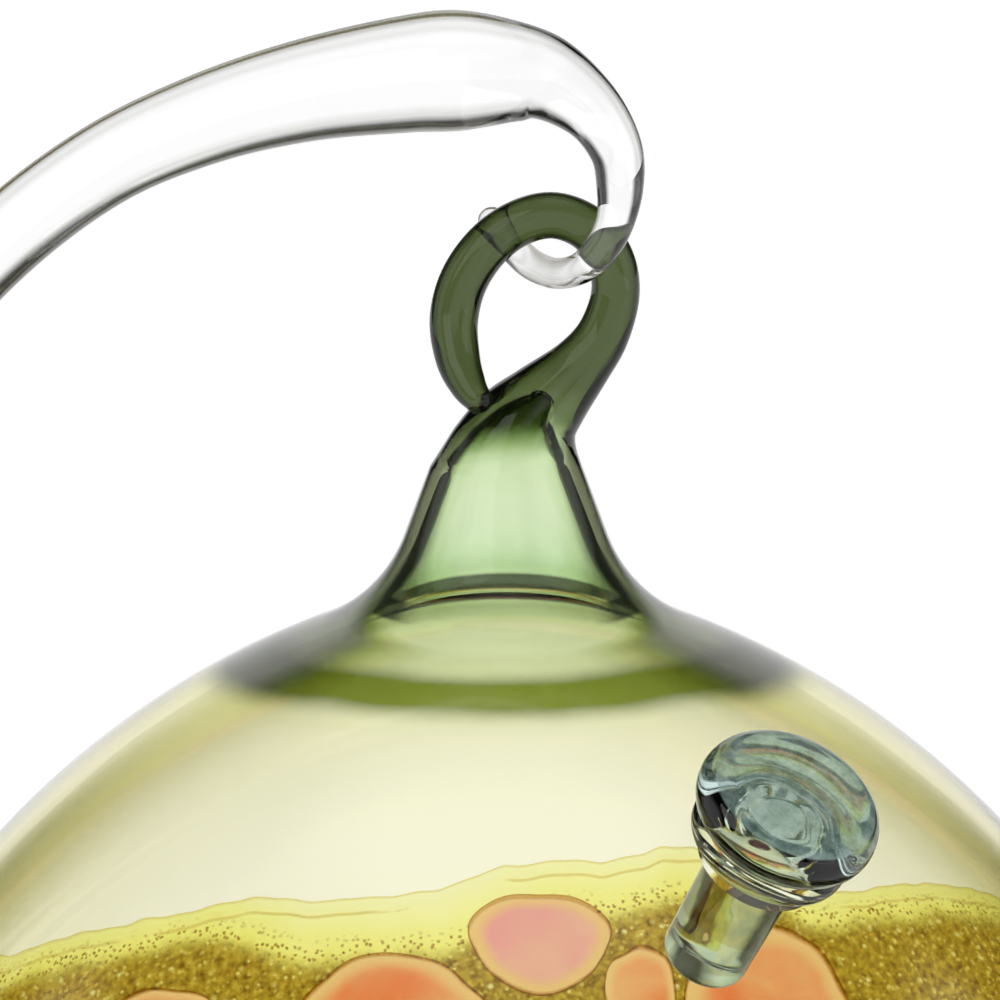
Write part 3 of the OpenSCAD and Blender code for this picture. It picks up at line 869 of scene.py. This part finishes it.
def make_stopper():
    """Head with a shallow dish on top, and a shank with a chamfered end."""
    seat = GLOBE_R + SEAT_LIFT
    under = seat + HEAD_LIFT
    top = under + HEAD_T
    edge = HEAD_T / 2
    end = seat - SHANK_LEN
    bevel = 1.1
    profile = (
        [(0.01, end), (SHANK_END_R - 1.5, end)]
        + arc(SHANK_END_R - bevel, end + bevel, bevel, -90, 0, 8)
        + [(SHANK_END_R + 0.02 * k, end + bevel + 0.9 * k) for k in range(1, 15)]
        + [(SHANK_R + 0.02, seat - 0.4), (SHANK_R + 0.15, seat + 0.5), (SHANK_R + 0.45, seat + 1.1)]
        + [(SHANK_R + 0.9, seat + 1.6), (SHANK_R + 1.6, under + 0.02)]
        + arc(HEAD_R - edge, under + edge, edge, -90, 90, 22)
        + [(HEAD_R - edge - 1.4, top - 0.12), (2.6, top - 0.5), (0.01, top - 0.72)]
    )
    ob = lathe("stopper_glass", profile, "stopper", port_place())
    origin = Vector((0, 0, GLOBE_Z * MM))

    def on_shank(v):
        along = (v.co - origin).dot(PORT) / MM
        return 1.0 if end + 2.5 < along < seat else 0.0

    def on_face(v):
        reach = v.co - origin
        along = reach.dot(PORT) / MM
        out = (reach - reach.dot(PORT) * PORT).length / MM
        return 1.0 if along > top - 1.7 and out < HEAD_R - 1.2 else 0.0

    mark(ob, "shank", on_shank)
    mark(ob, "face", on_face)
    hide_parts("stopper")
    return dress(ob, jade_glass())


# ---- Leaf band and patches ----


def on_globe(r, az, lat):
    """A place on a ball of radius r round the globe's centre; azimuth 0 is the front."""
    a, b = math.radians(az), math.radians(lat)
    flat = r * math.cos(b)
    return Vector((flat * math.sin(a), -flat * math.cos(a), GLOBE_Z + r * math.sin(b))) * MM


# Corners of the band's upper and lower edge as (azimuth, latitude), in degrees.
LEAF_TOP = [
    (-180, 30.6), (-175, 28.4), (-173, 27.7), (-162, 26.9), (-153, 27.9), (-138, 27.3),
    (-120, 26.6), (-108, 28), (-72, 28.5), (-68, 31), (-30, 32.5), (-26, 29.5), (10, 31),
    (45, 29), (50, 31.5), (85, 33), (114, 34.5), (132, 33), (141, 30.3), (148, 29.9),
    (157, 33.4), (163, 33.1),
    (165, 32.2), (170, 31.2), (175, 31.3), (180, 30.6),
]
LEAF_FOOT = [
    (-180, 2), (-140, -1), (-95, 3), (-50, 0), (-15, 3.5), (30, 0.5), (75, 3), (130, -0.5),
    (180, 2),
]
# Azimuth, latitude, half width, half height and phase of each patch's outline, in degrees.
PATCHES = [
    (176.6, 22.1, 6.4, 5.2, 0), (-168.9, 14.7, 9.1, 5.9, 200), (166.9, 17, 3.3, 4.8, 60),
    (153.6, 17.1, 8.4, 7.6, 130), (-145, 14.9, 6.6, 4.5, 300), (78, 19, 9, 6, 20),
    (20, 18, 8, 6, 250), (-75, 18.5, 9.5, 5.8, 90),
]
# Core and flame tint of the patches in each slot.
PATCH_TINTS = {
    "pink_glass": ((1.0, 0.44, 0.48), (1.0, 0.56, 0.48)),
    "orange_glass": ((0.98, 0.24, 0.08), (1.0, 0.56, 0.26)),
}


def ragged(az, seed, size):
    """Sum of sines that closes round the globe: the small tears of a leaf's edge."""
    rng = random.Random(seed)
    return sum(
        size / (1 + k * 0.35) * math.sin(math.radians(az * f) + rng.uniform(0, 6.28))
        for k, f in enumerate((9, 17, 31, 47, 83))
    )


def patch_reach(i, a):
    """How far the outline of patch i lies out at angle a, as a share of its half sizes."""
    phase = PATCHES[i][4]
    return 1 + 0.07 * math.sin(3 * a + math.radians(phase)) + 0.015 * math.sin(7 * a + phase)


def nearest_patch(az, lat):
    """How far out from the nearest patch's middle a place lies, as a share of its outline."""
    found = 9.0
    for i, (az0, lat0, wide, tall, _) in enumerate(PATCHES):
        x = ((az - az0 + 180) % 360 - 180) * math.cos(math.radians(lat0)) / wide
        y = (lat - lat0) / tall
        found = min(found, math.hypot(x, y) / patch_reach(i, math.atan2(y, x)))
    return found


def make_leaf():
    """A closed sheet inside the wall; each vertex knows how far it is from the edge and patches."""
    cols, rows = 900, 72
    outer, thick = GLOBE_R - WALL - 0.35, 0.25
    (ta, tl), (fa, fl) = tuple(zip(*LEAF_TOP)), tuple(zip(*LEAF_FOOT))
    lats, tops = np.zeros((rows, cols)), np.zeros(cols)
    azs = -180 + 360 * np.arange(cols) / cols
    for k, az in enumerate(azs):
        tops[k] = np.interp(az, ta, tl) + ragged(az, 3, 0.16)
        low = np.interp(az, fa, fl) + ragged(az, 8, 0.35)
        share = np.arange(rows) / (rows - 1)
        lats[:, k] = low + (tops[k] - low) * share
    bm = bmesh.new()
    layer = bm.verts.layers.float.new("from_edge")
    patched = bm.verts.layers.float.new("from_patch")
    cache = {}

    def vert(side, i, k):
        k %= cols
        if (side, i, k) not in cache:
            v = bm.verts.new(on_globe(outer - thick * side, azs[k], lats[i, k]))
            v[layer] = tops[k] - lats[i, k]
            v[patched] = nearest_patch(azs[k], lats[i, k])
            cache[side, i, k] = v
        return cache[side, i, k]

    def wall(p, q):
        bm.faces.new((vert(0, *p), vert(0, *q), vert(1, *q), vert(1, *p)))

    for i in range(rows - 1):
        for k in range(cols):
            a, b, c, d = (i, k), (i, k + 1), (i + 1, k + 1), (i + 1, k)
            bm.faces.new([vert(0, *p) for p in (a, b, c, d)])
            bm.faces.new([vert(1, *p) for p in (d, c, b, a)])
            if i == 0:
                wall(b, a)
            if i == rows - 2:
                wall(d, c)
    bmesh.ops.recalc_face_normals(bm, faces=bm.faces)
    ob = piece("leaf_film", bm, "globe")
    sharpen(ob, 60)
    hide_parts("leaf_band")
    return dress(ob, leaf_finish())


def make_patch(i):
    """A pebble of coloured glass between two faces that follow the wall."""
    az0, lat0, wide, tall, _ = PATCHES[i]
    rings, cols = 16, 72
    outer, thick = GLOBE_R - WALL - 0.07, 0.75
    bm = bmesh.new()
    layer = bm.verts.layers.float.new("rim")

    def grid(r):
        rows = []
        for j in range(1, rings + 1):
            row = []
            for k in range(cols):
                a = 2 * math.pi * k / cols
                s = j / rings * patch_reach(i, a)
                az = az0 + s * wide * math.cos(a) / math.cos(math.radians(lat0))
                v = bm.verts.new(on_globe(r, az, lat0 + s * tall * math.sin(a)))
                v[layer] = j / rings
                row.append(v)
            rows.append(row)
        tip = bm.verts.new(on_globe(r, az0, lat0))
        tip[layer] = 0
        return rows, tip

    (front, ft), (back, bt) = grid(outer), grid(outer - thick)
    for rows, tip, flip in ((front, ft, False), (back, bt, True)):
        for k in range(cols):
            m = (k + 1) % cols
            f = (tip, rows[0][k], rows[0][m])
            bm.faces.new(f[::-1] if flip else f)
            for a, b in zip(rows, rows[1:]):
                f = (a[k], b[k], b[m], a[m])
                bm.faces.new(f[::-1] if flip else f)
    for k in range(cols):
        m = (k + 1) % cols
        bm.faces.new((front[-1][k], back[-1][k], back[-1][m], front[-1][m]))
    bmesh.ops.recalc_face_normals(bm, faces=bm.faces)
    node = f"patch_{i + 1}"
    ob = piece(node + "_glass", bm, "globe")
    sharpen(ob, 60)
    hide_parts(node)
    slot = "pink_glass" if i == 0 else "orange_glass"
    mat = patch_finish(node + "_flame", *PATCH_TINTS[slot], 0.37 * i)
    return dress(ob, mat)


# ---- Liquid and floats ----


def make_liquid():
    """Liquid that fills the globe to its level and climbs the wall a little at the rim."""
    r = GLOBE_R - WALL + 0.03
    rise = 0.9
    top = math.degrees(math.asin((LIQUID_Z + rise - GLOBE_Z) / r))
    wall = arc(0, GLOBE_Z, r, -89.9, top, 90)
    rim_r = wall[-1][0]
    meniscus = [
        (rim_r - 3.0 * s, LIQUID_Z + rise * (1 - s) ** 2.4) for s in np.linspace(0.06, 1, 14)
    ]
    flat = [(x, LIQUID_Z) for x in np.linspace(rim_r - 6, 0.01, 12)]
    ob = lathe("liquid_body", wall + meniscus + flat, "globe", sides=128)
    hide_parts("liquid")
    return dress(ob, liquid_finish())


DYES = {
    "18": (0.30, 0.05, 0.55), "20": (0.02, 0.16, 0.75), "22": (0.02, 0.50, 0.12),
    "24": (0.95, 0.50, 0.02), "26": (0.80, 0.02, 0.03),
}


def make_bulb(name, place, glass):
    """A sealed hollow bulb with a pip on top and an eye below."""
    body = "float_" + name
    bm = bmesh.new()
    pip = [(2.1, 10.9), (1.5, 11.2), (1.1, 11.6), (0.75, 11.9), (0.35, 12.05), (0.01, 12.08)]
    loft(bm, lathe_rings(arc(0, 0, FLOAT_R, -89.5, 76, 60) + pip, 72))
    loft(bm, lathe_rings(arc(0, 0, FLOAT_R - FLOAT_WALL, -89.5, 89.5, 60), 72), True)
    bm.transform(place)
    bulb = piece(body + "_bulb", bm, body)
    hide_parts("bulb_" + name)
    dress(bulb, glass)
    hang = shift((0, 0, -EYE_DROP * MM)) @ Matrix.Rotation(math.pi / 2, 4, "X")
    eye = turned_ring(body + "_eye", arc(1.7, 0, 0.55, 0, 337.5, 16), body, place @ hang, 48)
    dress(eye, glass)


def make_dye(name, place):
    """Coloured liquid that fills the bulb's lower part, with a dished top."""
    body = "float_" + name
    level = 3.0
    fill = arc(0, 0, DYE_R, -89.5, math.degrees(math.asin(level / DYE_R)), 50)
    rim_r = fill[-1][0]
    fill += [(rim_r * s, level - 0.25 * (1 - s)) for s in (0.97, 0.93, 0.85, 0.6, 0.3, 0.001)]
    dye = lathe(body + "_dye", fill, body, place, 72)
    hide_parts("dye_" + name)
    dress(dye, dye_finish("dye_" + name, DYES[name]))


def make_tag(name, place, brass, ink):
    """A wire ring, a round plate with a raised edge and a hole, and its number."""
    tag_body = "tag_" + name
    hang = shift((0, 0, -(EYE_DROP + RING_R) * MM)) @ Matrix.Rotation(math.pi / 2, 4, "Y")
    round_wire = arc(RING_R, 0, 0.35, 0, 330, 12)
    wire = turned_ring(tag_body + "_wire", round_wire, tag_body, place @ hang, 48)
    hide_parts("ring_" + name)
    dress(wire, brass)
    flat = place @ shift((0, 0, -TAG_DROP * MM)) @ Matrix.Rotation(math.pi / 2, 4, "X")
    half = 0.4
    rim = [
        (0.01, -half), (TAG_R - 0.25, -half), (TAG_R - 0.06, -half + 0.08), (TAG_R, -half + 0.25),
        (TAG_R, half - 0.25), (TAG_R - 0.06, half - 0.08), (TAG_R - 0.25, half), (TAG_R - 0.7, half),
        (TAG_R - 0.8, half - 0.14), (TAG_R - 1.1, half - 0.14), (TAG_R - 1.2, half), (0.01, half),
    ]
    plate = lathe(tag_body + "_plate", rim, None, None, 72)
    hole_r = 1.1
    drill = [(0.01, -2), (hole_r, -2), (hole_r, 2), (0.01, 2)]
    hole = lathe("hole", drill, None, shift((0, (TAG_DROP - HOLE_DROP) * MM, 0)), 32)
    boolean(plate, hole, "DIFFERENCE")
    plate.data.transform(flat)
    sharpen(plate, 30)
    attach(plate, tag_body)
    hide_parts("tag_" + name)
    dress(plate, brass)
    raised = 0.02
    text = bpy.data.curves.new("numeral", "FONT")
    text.body = name + "°"
    text.size = 6.2 * MM
    text.extrude = 0.05 * MM
    text.bevel_depth = 0.02 * MM
    text.align_x, text.align_y = "CENTER", "CENTER"
    source = bpy.data.objects.new("numeral", text)
    bpy.context.scene.collection.objects.link(source)
    dg = bpy.context.evaluated_depsgraph_get()
    mesh = bpy.data.meshes.new_from_object(source.evaluated_get(dg))
    bpy.data.objects.remove(source)
    number = bpy.data.objects.new(tag_body + "_numeral", mesh)
    bpy.context.scene.collection.objects.link(number)
    mesh.transform(flat @ shift((0.25 * MM, -1.2 * MM, (half + raised) * MM)))
    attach(number, tag_body)
    dress(number, ink)


def make_float(name, glass, brass, ink):
    """One float with its dye and tag, placed by the boxes of its CAD nodes."""
    c = middle("bulb_" + name)
    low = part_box("dye_" + name)[0].z
    place = shift((c.x, c.y, low + DYE_R * MM))
    make_bulb(name, place, glass)
    make_dye(name, place)
    make_tag(name, place, brass, ink)


make_stand()
make_globe()
make_port()
make_stopper()
make_leaf()
for index in range(len(PATCHES)):
    make_patch(index)
make_liquid()
thin, metal, enamel = float_glass(), brass_finish(), ink_finish()
for label in FLOATS:
    make_float(label, thin, metal, enamel)
